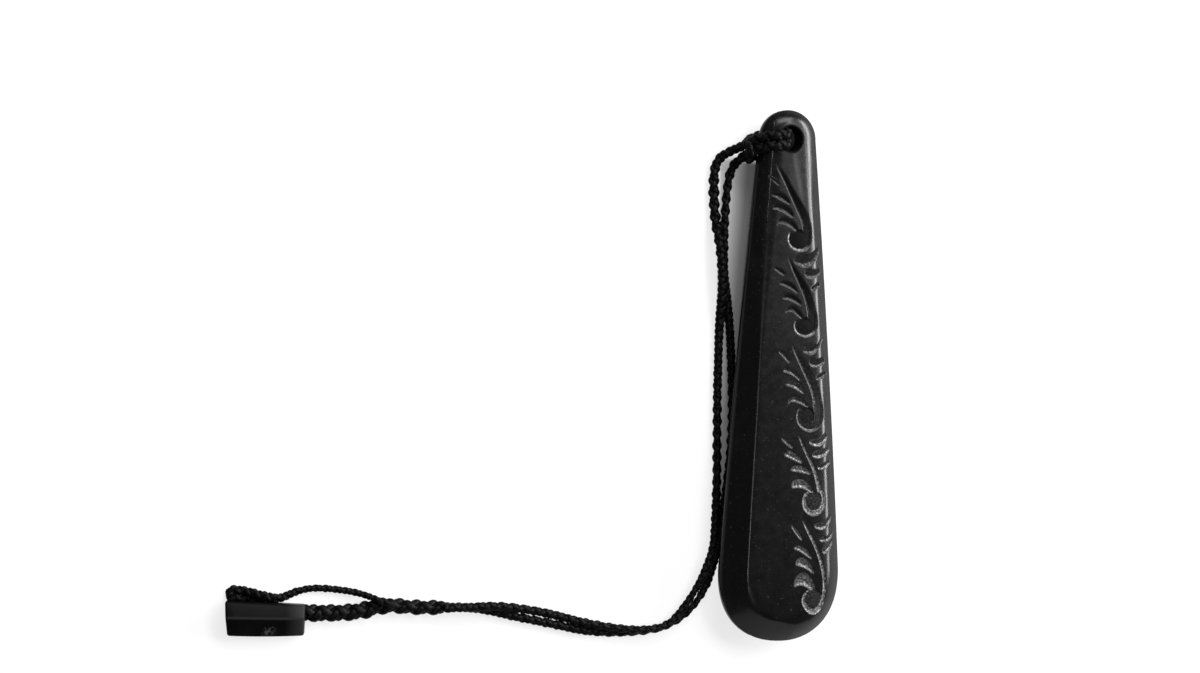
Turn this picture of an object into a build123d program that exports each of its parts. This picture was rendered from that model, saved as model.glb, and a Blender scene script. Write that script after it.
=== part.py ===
"""Toki adze pendant: a drilled stone adze on a plaited double cord with a toggle.

Millimetres. The stone lies on its flat back with its face up (+Z) and its head towards +Y.
The origin is on the surface, under the middle of the stone.
"""
from build123d import *
import math
import os

os.makedirs("parts", exist_ok=True)

# Stone outline, seen from above
stone_length = 140.0
stone_width = 33.5
head_width = 15.6
widest_from_blade = 18.9
side_bow = 0.42

# Stone thickness, from the surface up
face_height_blade = 13.2
face_height_head = 9.4
edge_bottom = 5.4
edge_top = 7.0

# Bevels: how far the face and the back stand in from the outline
face_inset_head = 3.6
face_inset_wide = 5.6
face_inset_apex = 2.6
face_inset_blade = 5.7
back_inset_head = 3.0
back_inset_wide = 6.6
back_inset_apex = 3.0
back_inset_blade = 4.2

# Underside of the head, ground away so that the cord has room below it
relief_length = 50.0
relief_depth = 3.5
cutter_overrun = 2.0

# Hole for the cord
hole_diameter = 6.7
hole_from_head = 7.6
hole_rim_radius = 0.55
size_tolerance = 0.1

# Cords
strand_diameter = 2.25
plait_diameter = 3.5
loop_diameter = 1.7
floor_gap = 0.03
strand_pitch = 2.8
arc_share = 0.45

# Toggle bar, deeper at its far end than at its cord end
toggle_length = 20.6
toggle_depth_far = 8.4
toggle_depth_near = 7.8
toggle_ridge_height = 5.6
toggle_end_bevel = 0.7
toggle_end_slant = 0.30
toggle_front_share = 0.62
toggle_back_share = 0.72
toggle_ridge_share = 0.15
socket_depth = 2.2
socket_gap = 0.15

# The middle of the toggle's cord end, on the surface, how far the bar is turned, how far the
# cord enters beside its middle line and where it starts to run straight at the bar
toggle_end = (-126.4, -62.3)
toggle_turn = -2.0
socket_offset = 1.7
plait_approach = 5.6

half_length = stone_length / 2
hole_y = half_length - hole_from_head
head_centre_y = half_length - head_width / 2
wide_y = -half_length + widest_from_blade
strand_low = strand_diameter / 2 + floor_gap
plait_low = plait_diameter / 2 + floor_gap
loop_low = loop_diameter / 2 + floor_gap

# The blade end's outline: two points on each side, as shares of the half width and of the
# distance from the widest place to the blade
bend_share_x = 0.93
bend_share_y = 0.44
corner_share_x = 0.49
corner_share_y = 0.91

# The bevel round the face swells: its shoulder, as shares of its inset and of its rise
shoulder_share = 0.42
shoulder_rise = 0.60


def stone_section(inset, height_blade, height_head):
    """A closed face in the outline's shape, drawn in by inset = (head, wide, apex, blade)."""
    in_head, in_wide, in_apex, in_blade = inset

    def at(x, y):
        share = (y + half_length) / stone_length
        return (x, y, height_blade + (height_head - height_blade) * share)

    head_x = head_width / 2 - in_head
    head_y = head_centre_y
    top_y = half_length - in_apex
    wide_x = stone_width / 2 - in_wide
    drop = wide_y - (-half_length + in_blade)
    corner_x = wide_x * corner_share_x
    corner_y = wide_y - drop * corner_share_y
    bend_x = wide_x * bend_share_x
    bend_y = wide_y - drop * bend_share_y
    bottom_y = wide_y - drop
    side_mid_x = (head_x + wide_x) / 2 + side_bow
    side_mid_y = (head_y + wide_y) / 2
    # Height of the round of the head at 45 degrees, between its side and its top
    round_x = head_x * math.sqrt(0.5)
    round_y = head_y + (top_y - head_y) * math.sqrt(0.5)
    edges = [
        ThreePointArc(at(head_x, head_y), at(round_x, round_y), at(0, top_y)),
        ThreePointArc(at(0, top_y), at(-round_x, round_y), at(-head_x, head_y)),
        ThreePointArc(at(-head_x, head_y), at(-side_mid_x, side_mid_y), at(-wide_x, wide_y)),
        ThreePointArc(at(-wide_x, wide_y), at(-bend_x, bend_y), at(-corner_x, corner_y)),
        ThreePointArc(at(-corner_x, corner_y), at(0, bottom_y), at(corner_x, corner_y)),
        ThreePointArc(at(corner_x, corner_y), at(bend_x, bend_y), at(wide_x, wide_y)),
        ThreePointArc(at(wide_x, wide_y), at(side_mid_x, side_mid_y), at(head_x, head_y)),
    ]
    return Face(Wire([edge.edge() for edge in edges]))


def scaled(inset, share):
    return tuple(share * value for value in inset)


def around_hole(edge):
    box = edge.bounding_box()
    off_centre = max(abs(box.center().X), abs(box.center().Y - hole_y))
    return off_centre < size_tolerance and abs(box.size.X - hole_diameter) < size_tolerance


def make_stone():
    face_inset = (face_inset_head, face_inset_wide, face_inset_apex, face_inset_blade)
    back_inset = (back_inset_head, back_inset_wide, back_inset_apex, back_inset_blade)
    no_inset = (0.0, 0.0, 0.0, 0.0)
    rise_blade = edge_top + shoulder_rise * (face_height_blade - edge_top)
    rise_head = edge_top + shoulder_rise * (face_height_head - edge_top)
    sections = [
        stone_section(back_inset, 0.0, 0.0),
        stone_section(no_inset, edge_bottom, edge_bottom),
        stone_section(no_inset, edge_top, edge_top),
        stone_section(scaled(face_inset, shoulder_share), rise_blade, rise_head),
        stone_section(face_inset, face_height_blade, face_height_head),
    ]
    stone = loft(sections, ruled=True)

    # The relief is a wedge under the head, from nothing to its full depth at the head's end
    relief_start = half_length - relief_length
    end_y = half_length + cutter_overrun
    end_depth = relief_depth * (relief_length + cutter_overrun) / relief_length
    wedge_outline = Polyline(
        (relief_start, 0, 0),
        (end_y, end_depth, 0),
        (end_y, -cutter_overrun, 0),
        (relief_start, -cutter_overrun, 0),
        close=True,
    )
    side_plane = Plane(origin=(-stone_width / 2, 0, 0), x_dir=(0, 1, 0), z_dir=(1, 0, 0))
    stone -= extrude(side_plane * make_face(wedge_outline), amount=stone_width)

    drill = Pos(0, hole_y, face_height_blade / 2) * Cylinder(hole_diameter / 2, 2 * face_height_blade)
    stone -= drill
    rims = [edge for edge in stone.edges() if around_hole(edge)]
    return fillet(rims, hole_rim_radius)


def corner_radii(points):
    """The largest tangent arc at each inner point that its two runs leave room for."""
    radii = []
    for before, point, after in zip(points, points[1:], points[2:]):
        run_in = Vector(*point) - Vector(*before)
        run_out = Vector(*after) - Vector(*point)
        half_turn = math.radians(run_in.get_angle(run_out)) / 2
        radii.append(arc_share * min(run_in.length, run_out.length) / math.tan(half_turn))
    return radii


def make_cord(name, points, diameter):
    radii = corner_radii(points)
    path = FilletPolyline(*points, radius=radii)
    start = Plane(origin=path @ 0, z_dir=path % 0)
    tube = sweep(start * Circle(diameter / 2), path=path)
    share = tube.volume / (math.pi * diameter**2 / 4 * path.length)
    print(name, "length", round(path.length, 1))
    print(name, "smallest radius", round(min(radii), 2), "volume share", round(share, 3))
    return tube


def beside_toggle(along, across):
    """A place given from the toggle's cord end, along the bar and across it."""
    turn = math.radians(toggle_turn)
    x = toggle_end[0] + along * math.cos(turn) - across * math.sin(turn)
    y = toggle_end[1] + along * math.sin(turn) + across * math.cos(turn)
    return (x, y)


# Routes of the cords. The two strands start side by side half way down the hole, where they
# meet the two legs of the hitch band, and end one on the other at the plait.
hole_middle = 6.3
over_rim = 9.9
upper_y = hole_y + strand_pitch / 2
lower_y = hole_y - strand_pitch / 2
in_hole_x = 1.3
join_x = -90.8
join_y = -59.9
strand_high = strand_low + strand_diameter + floor_gap

upper_route = [
    (in_hole_x, upper_y, hole_middle),
    (in_hole_x, upper_y, over_rim),
    (-4.2, 63.3, 11.2),
    (-7.4, 62.8, 9.5),
    (-10.1, 61.8, 7.5),
    (-12.4, 60.2, 5.7),
    (-14.9, 58.9, 3.5),
    (-17.3, 57.1, 1.6),
    (-18.4, 54.0, strand_low),
    (-18.4, 48.6, strand_low),
    (-18.0, 41.6, strand_low),
    (-16.6, 35.4, 3.2),
    (-15.3, 28.6, 3.7),
    (-15.1, 21.6, 3.2),
    (-15.8, 13.6, strand_low),
    (-16.2, 5.0, strand_low),
    (-16.3, -5.3, strand_low),
    (-16.1, -17.0, strand_low),
    (-15.9, -28.0, strand_low),
    (-16.3, -38.2, 1.6),
    (-16.9, -45.2, 2.8),
    (-18.6, -51.4, 3.0),
    (-21.2, -56.0, 2.8),
    (-24.6, -61.2, 2.5),
    (-29.4, -65.0, 2.6),
    (-36.6, -66.2, 2.6),
    (-44.6, -65.9, 2.5),
    (-53.2, -64.2, 2.0),
    (-62.0, -62.1, strand_low),
    (-70.6, -60.5, 2.2),
    (-77.6, -59.6, 3.4),
    (-84.4, join_y, strand_high),
    (join_x, join_y, strand_high),
]
lower_route = [
    (in_hole_x, lower_y, hole_middle),
    (in_hole_x, lower_y, over_rim),
    (-4.2, 60.6, 11.3),
    (-7.4, 60.2, 9.7),
    (-9.9, 59.2, 7.5),
    (-11.9, 57.5, 5.2),
    (-13.4, 55.8, 3.2),
    (-14.2, 53.0, 1.6),
    (-14.8, 48.4, strand_low),
    (-15.1, 41.6, strand_low),
    (-15.3, 33.4, strand_low),
    (-14.9, 26.2, strand_low),
    (-13.4, 20.4, strand_low),
    (-13.0, 11.0, strand_low),
    (-12.4, 2.0, strand_low),
    (-12.0, -7.0, strand_low),
    (-12.0, -17.0, strand_low),
    (-12.8, -27.6, strand_low),
    (-14.1, -37.4, strand_low),
    (-15.0, -45.0, strand_low),
    (-17.0, -51.8, strand_low),
    (-19.4, -56.8, strand_low),
    (-22.4, -61.9, strand_low),
    (-27.6, -66.2, strand_low),
    (-34.8, -68.1, strand_low),
    (-43.4, -68.1, strand_low),
    (-52.4, -66.6, strand_low),
    (-61.8, -64.7, strand_low),
    (-70.6, -62.9, strand_low),
    (-78.2, -61.0, strand_low),
    (-85.0, join_y, strand_low),
    (join_x, join_y, strand_low),
]
band_route = [
    (in_hole_x, upper_y, hole_middle),
    (in_hole_x, upper_y, strand_low),
    (-5.2, 64.6, strand_low),
    (-8.9, 64.6, 2.2),
    (-11.2, 63.9, 5.0),
    (-12.9, 62.8, 8.8),
    (-12.3, 59.8, 9.6),
    (-11.4, 56.5, 9.2),
    (-10.1, 55.4, 4.9),
    (-8.6, 56.2, 1.4),
    (-5.0, 58.8, strand_low),
    (in_hole_x, lower_y, strand_low),
    (in_hole_x, lower_y, hole_middle),
]
plait_route = [
    (join_x, join_y, plait_low),
    (-98.2, join_y, plait_low),
    (-105.8, -58.8, plait_low),
    (-112.8, -60.6, plait_low),
    (*beside_toggle(plait_approach, socket_offset), plait_low),
    (*beside_toggle(-socket_depth, socket_offset), plait_low),
]
# The eye: on top of the plait, along the toggle's back, round its far end and back over itself
loop_route = [
    (-104.4, -58.9, 4.44),
    (-107.4, -57.9, 4.2),
    (-110.4, -56.6, 2.2),
    (-114.2, -55.5, loop_low),
    (-119.6, -54.7, loop_low),
    (-125.0, -54.3, loop_low),
    (-129.4, -55.2, loop_low),
    (-133.2, -57.0, loop_low),
    (-137.6, -56.75, loop_low),
    (-142.2, -56.6, loop_low),
    (-145.9, -56.55, loop_low),
    (-146.7, -54.9, loop_low),
    (-145.5, -53.45, loop_low),
    (-142.4, -54.4, 1.2),
    (-138.8, -55.7, 2.5),
    (-134.8, -56.6, 2.72),
]


def toggle_section(x, depth, height):
    """The bar's outline across its length: low front, a ridge and a higher back."""
    half = depth / 2

    def at(y, z):
        return (x - toggle_end_slant * z, y, z)

    outline = Polyline(
        at(-half, 0),
        at(-half, toggle_front_share * height),
        at(toggle_ridge_share * half, height),
        at(half, toggle_back_share * height),
        at(half, 0),
        close=True,
    )
    return make_face(outline)


def make_toggle():
    end_depth = toggle_depth_far - 2 * toggle_end_bevel
    end_height = toggle_ridge_height - toggle_end_bevel
    sections = [
        toggle_section(-toggle_length, end_depth, end_height),
        toggle_section(toggle_end_bevel - toggle_length, toggle_depth_far, toggle_ridge_height),
        toggle_section(0, toggle_depth_near, toggle_ridge_height),
    ]
    bar = loft(sections, ruled=True)
    socket_radius = plait_diameter / 2 + socket_gap
    socket = Pos(-socket_depth / 2, socket_offset, plait_low) * Rot(0, 90, 0)
    bar -= socket * Cylinder(socket_radius, socket_depth)
    return Pos(toggle_end[0], toggle_end[1], 0) * Rot(0, 0, toggle_turn) * bar


stone = make_stone()
upper_strand = make_cord("upper strand", upper_route, strand_diameter)
lower_strand = make_cord("lower strand", lower_route, strand_diameter)
hitch_band = make_cord("hitch band", band_route, strand_diameter)
toggle_plait = make_cord("toggle plait", plait_route, plait_diameter)
closure_loop = make_cord("closure loop", loop_route, loop_diameter)
toggle = make_toggle()

pieces = {
    "adze_stone": stone,
    "strand_upper": upper_strand,
    "strand_lower": lower_strand,
    "hitch_band": hitch_band,
    "toggle_plait": toggle_plait,
    "closure_loop": closure_loop,
    "toggle": toggle,
}
for node, shape in pieces.items():
    export_step(shape, "parts/" + node + ".step")
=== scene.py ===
"""Toki adze pendant: a carved stone adze on a plaited double cord, laid on a white surface.

Lengths are in metres, apart from those said to be in millimetres. The stone lies on its flat
back, face up (+Z), head towards +Y.
"""
import bpy
import math
import numpy as np
from mathutils import Matrix, Vector


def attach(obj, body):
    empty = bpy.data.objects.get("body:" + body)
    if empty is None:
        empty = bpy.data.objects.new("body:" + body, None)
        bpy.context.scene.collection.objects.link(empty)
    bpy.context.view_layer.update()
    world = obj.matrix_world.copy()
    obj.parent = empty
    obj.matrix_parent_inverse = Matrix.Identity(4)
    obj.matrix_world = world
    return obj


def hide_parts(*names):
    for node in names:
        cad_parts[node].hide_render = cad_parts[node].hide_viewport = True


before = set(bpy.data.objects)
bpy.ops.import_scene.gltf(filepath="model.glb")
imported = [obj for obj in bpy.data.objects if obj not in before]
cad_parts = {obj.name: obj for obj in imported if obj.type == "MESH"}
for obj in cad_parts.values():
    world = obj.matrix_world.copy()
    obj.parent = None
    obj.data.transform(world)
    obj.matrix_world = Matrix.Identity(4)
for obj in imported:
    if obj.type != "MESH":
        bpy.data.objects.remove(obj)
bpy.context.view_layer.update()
scene = bpy.context.scene
MM = 0.001

# The photograph's frame and viewpoint
PHOTO_WIDTH = 1200
PHOTO_HEIGHT = 673
VIEW_YAW = math.radians(18.7)
VIEW_PITCH = math.radians(2.0)
VIEW_ROLL = math.radians(1.05)
VIEW_DISTANCE = 0.850
STONE_LENGTH = 0.140
STONE_LENGTH_PIXELS = 530.7
STONE_MIDDLE = Vector((0.0, 0.0, 0.0063))
STONE_MIDDLE_PIXEL = (782.3, 376.0)
SENSOR_WIDTH = 36.0
CLIP_START = 0.01


def make_camera():
    """The photograph's view of the stone: from its left, a little towards its head."""
    back = Vector((
        -math.sin(VIEW_YAW) * math.cos(VIEW_PITCH),
        math.sin(VIEW_PITCH),
        math.cos(VIEW_YAW) * math.cos(VIEW_PITCH),
    ))
    level_right = Vector((0, 1, 0)).cross(back).normalized()
    level_up = back.cross(level_right)
    right = math.cos(VIEW_ROLL) * level_right + math.sin(VIEW_ROLL) * level_up
    up = math.cos(VIEW_ROLL) * level_up - math.sin(VIEW_ROLL) * level_right
    pixels_of_focus = VIEW_DISTANCE * STONE_LENGTH_PIXELS / STONE_LENGTH
    aside = (STONE_MIDDLE_PIXEL[0] - PHOTO_WIDTH / 2) / pixels_of_focus
    below = (STONE_MIDDLE_PIXEL[1] - PHOTO_HEIGHT / 2) / pixels_of_focus
    place = STONE_MIDDLE + VIEW_DISTANCE * (back - aside * right + below * up)

    data = bpy.data.cameras.new("camera")
    data.sensor_fit = "HORIZONTAL"
    data.sensor_width = SENSOR_WIDTH
    data.lens = pixels_of_focus / PHOTO_WIDTH * SENSOR_WIDTH
    data.clip_start = CLIP_START
    camera = bpy.data.objects.new("camera", data)
    turned = Matrix((right, up, back)).transposed().to_4x4()
    camera.matrix_world = Matrix.Translation(place) @ turned
    scene.collection.objects.link(camera)
    scene.camera = camera


def link_mesh(name, vertices, faces, smooth=True):
    mesh = bpy.data.meshes.new(name)
    mesh.from_pydata([tuple(v) for v in vertices], [], [tuple(f) for f in faces])
    mesh.validate()
    piece = bpy.data.objects.new(name, mesh)
    scene.collection.objects.link(piece)
    if smooth:
        mesh.shade_smooth()
    else:
        mesh.shade_flat()
    return piece


# The points that control each cord's line: its solid's, some of them moved to follow the photo
# A strand that lies on the surface has its middle at LOW
LOW = 0.001155
UPPER_ROUTE = [
    (-0.0002, 0.0636, 0.0063), (-0.0002, 0.0636, 0.0099), (-0.0042, 0.0633, 0.0112),
    (-0.0074, 0.0628, 0.0095), (-0.0101, 0.0618, 0.0075), (-0.0124, 0.0602, 0.0057),
    (-0.0149, 0.0589, 0.0035), (-0.0173, 0.0571, 0.0016), (-0.0184, 0.054, LOW), (-0.0184, 0.0486, LOW),
    (-0.018, 0.0416, LOW), (-0.0171, 0.0354, 0.0030), (-0.0163, 0.0286, 0.0034),
    (-0.0160, 0.0216, 0.0030), (-0.0161, 0.0136, LOW), (-0.0162, 0.005, LOW), (-0.0163, -0.0053, LOW),
    (-0.0161, -0.017, LOW), (-0.0159, -0.028, LOW), (-0.0163, -0.0382, 0.0016),
    (-0.0169, -0.0452, 0.0028), (-0.0192, -0.0514, 0.003), (-0.0214, -0.0557, 0.0028),
    (-0.0246, -0.0607, 0.0026), (-0.0294, -0.0661, 0.003), (-0.0368, -0.0669, 0.0032),
    (-0.0447, -0.0661, 0.0028), (-0.0532, -0.0646, 0.002), (-0.062, -0.0621, LOW),
    (-0.0706, -0.0605, 0.0022), (-0.0776, -0.0596, 0.0034), (-0.0844, -0.0599, 0.003435),
    (-0.0908, -0.0599, 0.003435),
]
LOWER_ROUTE = [
    (-0.0002, 0.0612, 0.0063), (-0.0002, 0.0612, 0.0099), (-0.0042, 0.0606, 0.0113),
    (-0.0074, 0.0602, 0.0097), (-0.0099, 0.0592, 0.0075), (-0.0119, 0.0575, 0.0052),
    (-0.0134, 0.0558, 0.0032), (-0.0142, 0.053, 0.0016), (-0.0148, 0.0484, LOW), (-0.0151, 0.0416, LOW),
    (-0.0153, 0.0334, LOW), (-0.0151, 0.0262, LOW), (-0.0140, 0.0204, LOW), (-0.013, 0.011, LOW),
    (-0.0124, 0.002, LOW), (-0.012, -0.007, LOW), (-0.012, -0.017, LOW), (-0.0128, -0.0276, LOW),
    (-0.0141, -0.0374, LOW), (-0.015, -0.045, LOW), (-0.017, -0.0518, LOW), (-0.0187, -0.0565, LOW),
    (-0.0221, -0.0616, LOW), (-0.0277, -0.0657, LOW), (-0.0348, -0.0674, LOW), (-0.0434, -0.0678, LOW),
    (-0.0524, -0.0669, LOW), (-0.0618, -0.0647, LOW), (-0.0706, -0.0629, LOW), (-0.0782, -0.061, LOW),
    (-0.085, -0.0599, LOW), (-0.0908, -0.0599, LOW),
]
BAND_ROUTE = [
    (-0.0002, 0.0636, 0.0063), (-0.0002, 0.0636, LOW), (-0.0052, 0.0632, LOW),
    (-0.0088, 0.0624, 0.0022), (-0.0106, 0.0618, 0.005), (-0.0120, 0.0611, 0.0084),
    (-0.0118, 0.0594, 0.0093), (-0.0114, 0.0577, 0.0088), (-0.0103, 0.0569, 0.005),
    (-0.0087, 0.0570, 0.0016), (-0.005, 0.0588, LOW), (-0.0002, 0.0612, LOW), (-0.0002, 0.0612, 0.0063),
]
PLAIT_ROUTE = [
    (-0.0908, -0.0599, 0.00178), (-0.0982, -0.0599, 0.00178), (-0.1058, -0.0588, 0.00178),
    (-0.1128, -0.0606, 0.00178), (-0.120744, -0.0607965, 0.00178), (-0.128539, -0.0605243, 0.00178),
]
LOOP_ROUTE = [
    (-0.1044, -0.0589, 0.00444), (-0.1074, -0.0579, 0.0042), (-0.1104, -0.0566, 0.0022),
    (-0.1142, -0.0555, 0.00088), (-0.1196, -0.0547, 0.00088), (-0.125, -0.0543, 0.00088),
    (-0.1294, -0.0552, 0.00088), (-0.1332, -0.057, 0.00088), (-0.1376, -0.05675, 0.00088),
    (-0.1422, -0.0566, 0.00088), (-0.1457, -0.0565, 0.00088), (-0.1465, -0.0554, 0.00088),
    (-0.1455, -0.0543, 0.00088), (-0.1424, -0.0547, 0.0012), (-0.1388, -0.0557, 0.0025),
    (-0.1348, -0.0566, 0.00272),
]
# How much wider each cord is seen than its solid: millimetres along it and factor
UPPER_WIDTHS = [(0, 1.50), (14, 1.45), (20, 1.25), (26, 1.30), (34, 1.45), (64, 1.40), (74, 1.20),
                (134, 1.20), (141, 0.92), (149, 1.10), (165, 1.05), (173, 1.20)]
LOWER_WIDTHS = [(0, 1.50), (14, 1.45), (20, 1.25), (30, 1.15), (44, 1.25), (60, 1.20),
                (132, 1.20), (138, 0.92), (147, 1.05), (161, 1.00), (172, 1.20)]
BAND_WIDTHS = [(0, 1.90), (9, 1.80), (15, 1.25), (36, 1.25), (42, 1.80), (52, 1.90)]
PLAIT_WIDTHS = [(0, 1.15), (10, 1.25), (22, 1.40), (38, 1.40)]
LOOP_WIDTHS = [(0, 1.20), (24, 1.25), (32, 1.60), (58, 1.60)]
STRAND_DIAMETER = 0.00225
PLAIT_DIAMETER = 0.0035
LOOP_DIAMETER = 0.0017
# The length in which a ply goes once round its cord
STRAND_TURN = 0.0064
PLAIT_TURN = 0.0090
LOOP_TURN = 0.0052
SPLINE_ORDER = 3
SPLINE_STEPS = 32
PATH_STEP = 0.00028
PLY_SIDES = 9
NORMAL_LIFT = 0.08
# In shares of the cord's radius: how far a ply lies from the line, how far it weaves in and
# out, half its thickness, half its width and how much wider it is further out
PLY_DISTANCE = 0.39
PLY_WEAVE = 0.18
PLY_HALF_OUT = 0.42
PLY_HALF_SIDE = 0.53
PLY_SIDE_WEAVE = 0.03
# The plies turn and lie a little unevenly: size and pace of both, and the range of a start
SWAY = 0.35
SWAY_LENGTH = 9.0
SLACK = 0.05
SLACK_PACE = 0.7
ANY_START = 6.28


def limited(values):
    """Values held between 0 and 1."""
    return np.clip(values, 0.0, 1.0)


def even_points(line, count=None):
    """Evenly spaced points on a line, and how far along it each of them lies."""
    gaps = np.linalg.norm(np.diff(line, axis=0), axis=1)
    along = np.concatenate([[0.0], np.cumsum(gaps)])
    even = np.linspace(0.0, along[-1], count or int(along[-1] / PATH_STEP))
    return np.stack([np.interp(even, along, part) for part in line.T], axis=1), even


def spline_points(points):
    """Evenly spaced points on the smooth line that the route's points control."""
    curve = bpy.data.curves.new("route", "CURVE")
    curve.dimensions = "3D"
    curve.resolution_u = SPLINE_STEPS
    spline = curve.splines.new("NURBS")
    spline.points.add(len(points) - 1)
    for control, point in zip(spline.points, points):
        control.co = (*point, 1.0)
    spline.order_u = SPLINE_ORDER
    spline.use_endpoint_u = True
    holder = bpy.data.objects.new("route", curve)
    scene.collection.objects.link(holder)
    bpy.context.view_layer.update()
    mesh = bpy.data.meshes.new_from_object(holder)
    line = np.array([v.co for v in mesh.vertices], float)
    bpy.data.objects.remove(holder)
    bpy.data.curves.remove(curve)
    bpy.data.meshes.remove(mesh)
    return even_points(line)


def normalised(vectors):
    return vectors / np.maximum(np.linalg.norm(vectors, axis=-1, keepdims=True), 1e-12)


def path_frames(line):
    """Normal and side along a line. The normal follows the line and settles upwards."""
    tangents = normalised(np.gradient(line, axis=0))
    up = np.array([0.0, 0.0, 1.0])
    normal = np.array([1.0, 0.0, 0.0])
    normals = []
    for tangent in tangents:
        normal = normal + NORMAL_LIFT * (up - tangent * (up @ tangent))
        normal = normal - tangent * (normal @ tangent)
        normal = normal / np.linalg.norm(normal)
        normals.append(normal)
    normals = np.array(normals)
    return normals, np.cross(tangents, normals)


def ring_faces(count, around):
    """Faces between rings of points that follow each other."""
    faces = []
    for ring in range(count - 1):
        low = ring * around
        high = low + around
        for k in range(around):
            after = (k + 1) % around
            faces.append((low + k, low + after, high + after, high + k))
    return faces


def closed_tube_faces(count, around):
    """The same, and a face over each end."""
    faces = ring_faces(count, around)
    faces.append(tuple(reversed(range(around))))
    faces.append(tuple(range((count - 1) * around, count * around)))
    return faces


def tube_mesh(centres, outward, half_out, half_side):
    """Vertices and faces of a ply: a closed tube of oval section along its centres."""
    tangents = normalised(np.gradient(centres, axis=0))
    out = normalised(outward - tangents * np.sum(outward * tangents, axis=1, keepdims=True))
    side = np.cross(tangents, out)
    angles = np.linspace(0.0, 2 * math.pi, PLY_SIDES, endpoint=False)
    rings = (
        centres[:, None, :]
        + half_out[:, None, None] * np.cos(angles)[None, :, None] * out[:, None, :]
        + half_side[:, None, None] * np.sin(angles)[None, :, None] * side[:, None, :]
    )
    return rings.reshape(-1, 3), closed_tube_faces(len(centres), PLY_SIDES)


def twisted_tubes(line, along, plies, widths):
    """Joins the plies of a cord. Each is (angle, distance, half_out, half_side) along the line."""
    wider = np.interp(along / MM, [place for place, _ in widths], [factor for _, factor in widths])
    normals, flanks = path_frames(line)
    vertices = []
    faces = []
    lengths = []
    rounds = []
    start = 0
    for angle, distance, half_out, half_side in plies:
        outward = np.cos(angle)[:, None] * normals + np.sin(angle)[:, None] * flanks
        centres = line + distance[:, None] * outward
        points, quads = tube_mesh(centres, outward, half_out, half_side)
        rings = points.reshape(len(line), PLY_SIDES, 3)
        aside = np.sum((rings - line[:, None]) * flanks[:, None], axis=2)
        rings += ((wider - 1)[:, None] * aside)[:, :, None] * flanks[:, None]
        vertices.append(points)
        faces.extend(tuple(start + index for index in face) for face in quads)
        lengths.append(np.repeat(along, PLY_SIDES))
        rounds.append(np.tile(np.arange(PLY_SIDES) / PLY_SIDES, len(line)))
        start += len(points)
    return np.concatenate(vertices), faces, np.concatenate(lengths), np.concatenate(rounds)


def round_plait(along, radius, turn, seed):
    """Four plies woven round each other: two turn left and two turn right."""
    random = np.random.default_rng(seed)
    sway = SWAY * np.sin(along / (SWAY_LENGTH * radius) + seed)
    turned = 2 * math.pi * along / turn
    plies = []
    for offset, sense in ((0.0, 1), (math.pi, 1), (0.0, -1), (math.pi, -1)):
        angle = sense * turned + offset
        weave = sense * np.cos(2 * angle)
        slack = 1.0 + SLACK * np.sin(along / radius * SLACK_PACE + random.uniform(0, ANY_START))
        distance = radius * (PLY_DISTANCE + PLY_WEAVE * weave) * slack
        half_out = radius * np.full(len(along), PLY_HALF_OUT)
        half_side = radius * (PLY_HALF_SIDE + PLY_SIDE_WEAVE * weave)
        plies.append((angle + math.pi / 4 + sway, distance, half_out, half_side))
    return plies


def dress(piece, material, solid):
    """Gives a piece its material and lets it stand for its solid."""
    piece.data.materials.append(material)
    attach(piece, "root")
    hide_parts(solid)


def make_cord(name, solid, route, diameter, widths, turn, seed, material, with_pieces):
    line, along = spline_points(route)
    plies = round_plait(along, diameter / 2, turn, seed)
    vertices, faces, lengths, rounds = twisted_tubes(line, along, plies, widths)
    piece = link_mesh(name, vertices, faces)
    mesh = piece.data
    layer = mesh.uv_layers.new(name="yarn")
    corners = np.zeros(len(mesh.loops), int)
    mesh.loops.foreach_get("vertex_index", corners)
    uvs = np.stack([lengths[corners] / MM, rounds[corners]], axis=1)
    layer.data.foreach_set("uv", uvs.ravel().astype(np.float32))
    dress(piece, material, solid)


# The stone's outline and thickness, as in its solid
STONE_WIDTH = 0.0335
HEAD_WIDTH = 0.0156
WIDEST_FROM_BLADE = 0.0189
SIDE_BOW = 0.00042
FACE_HEIGHT_BLADE = 0.0132
FACE_HEIGHT_HEAD = 0.0094
EDGE_BOTTOM = 0.0054
EDGE_TOP = 0.0070
FACE_INSET = (0.0036, 0.0056, 0.0026, 0.0057)
BACK_INSET = (0.0030, 0.0066, 0.0030, 0.0042)
RELIEF_LENGTH = 0.050
RELIEF_DEPTH = 0.0035
HOLE_RADIUS = 0.00335
HOLE_FROM_HEAD = 0.0076
# Only here: the radius of the hole's rounded rims, smaller than the solid's
HOLE_RIM = 0.00035
# The powers of the curve that stands for the blade's arcs
BLADE_ROUND = 2.4
BLADE_SHOULDER = 2.2
# Only here: how far aside the face lies at the head, and how round it is ground
FACE_ASIDE = 0.00065
FACE_CROWN = 0.022
CROWN_LEAST_REACH = 0.004
# Only here: how much higher the right wall is, how far it leans in for that, and to how many
# bevels from the outline. It grows from a place on towards the blade, and falls at its end
RIM_RISE = 0.0019
RIM_LEAN = 0.40
LEAN_DEPTH = 1.2
RIM_FROM = 0.045
RIM_REACH = 0.075
RIM_SHARE_AT_BLADE = 0.4
RIM_FALL = 0.020
# Steepness of the two side bevels, from the outline to the face
LEFT_SLOPES = (1.1, 1.05, 1.0, 0.95, 0.9)
RIGHT_SLOPES = (1.28, 1.24, 1.20, 1.15, 1.08, 1.00, 0.82, 0.66, 0.56)
BLADE_LINES = 100
MIDDLE_LINES = 470
HEAD_LINES = 36
FINE_COLUMNS = 108
COARSE_COLUMNS = 7
# How deep the inset is searched, as a share of the bevel, and by how many halvings
DEEPEST_SHARE = 2.4
HALVINGS = 18
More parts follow.
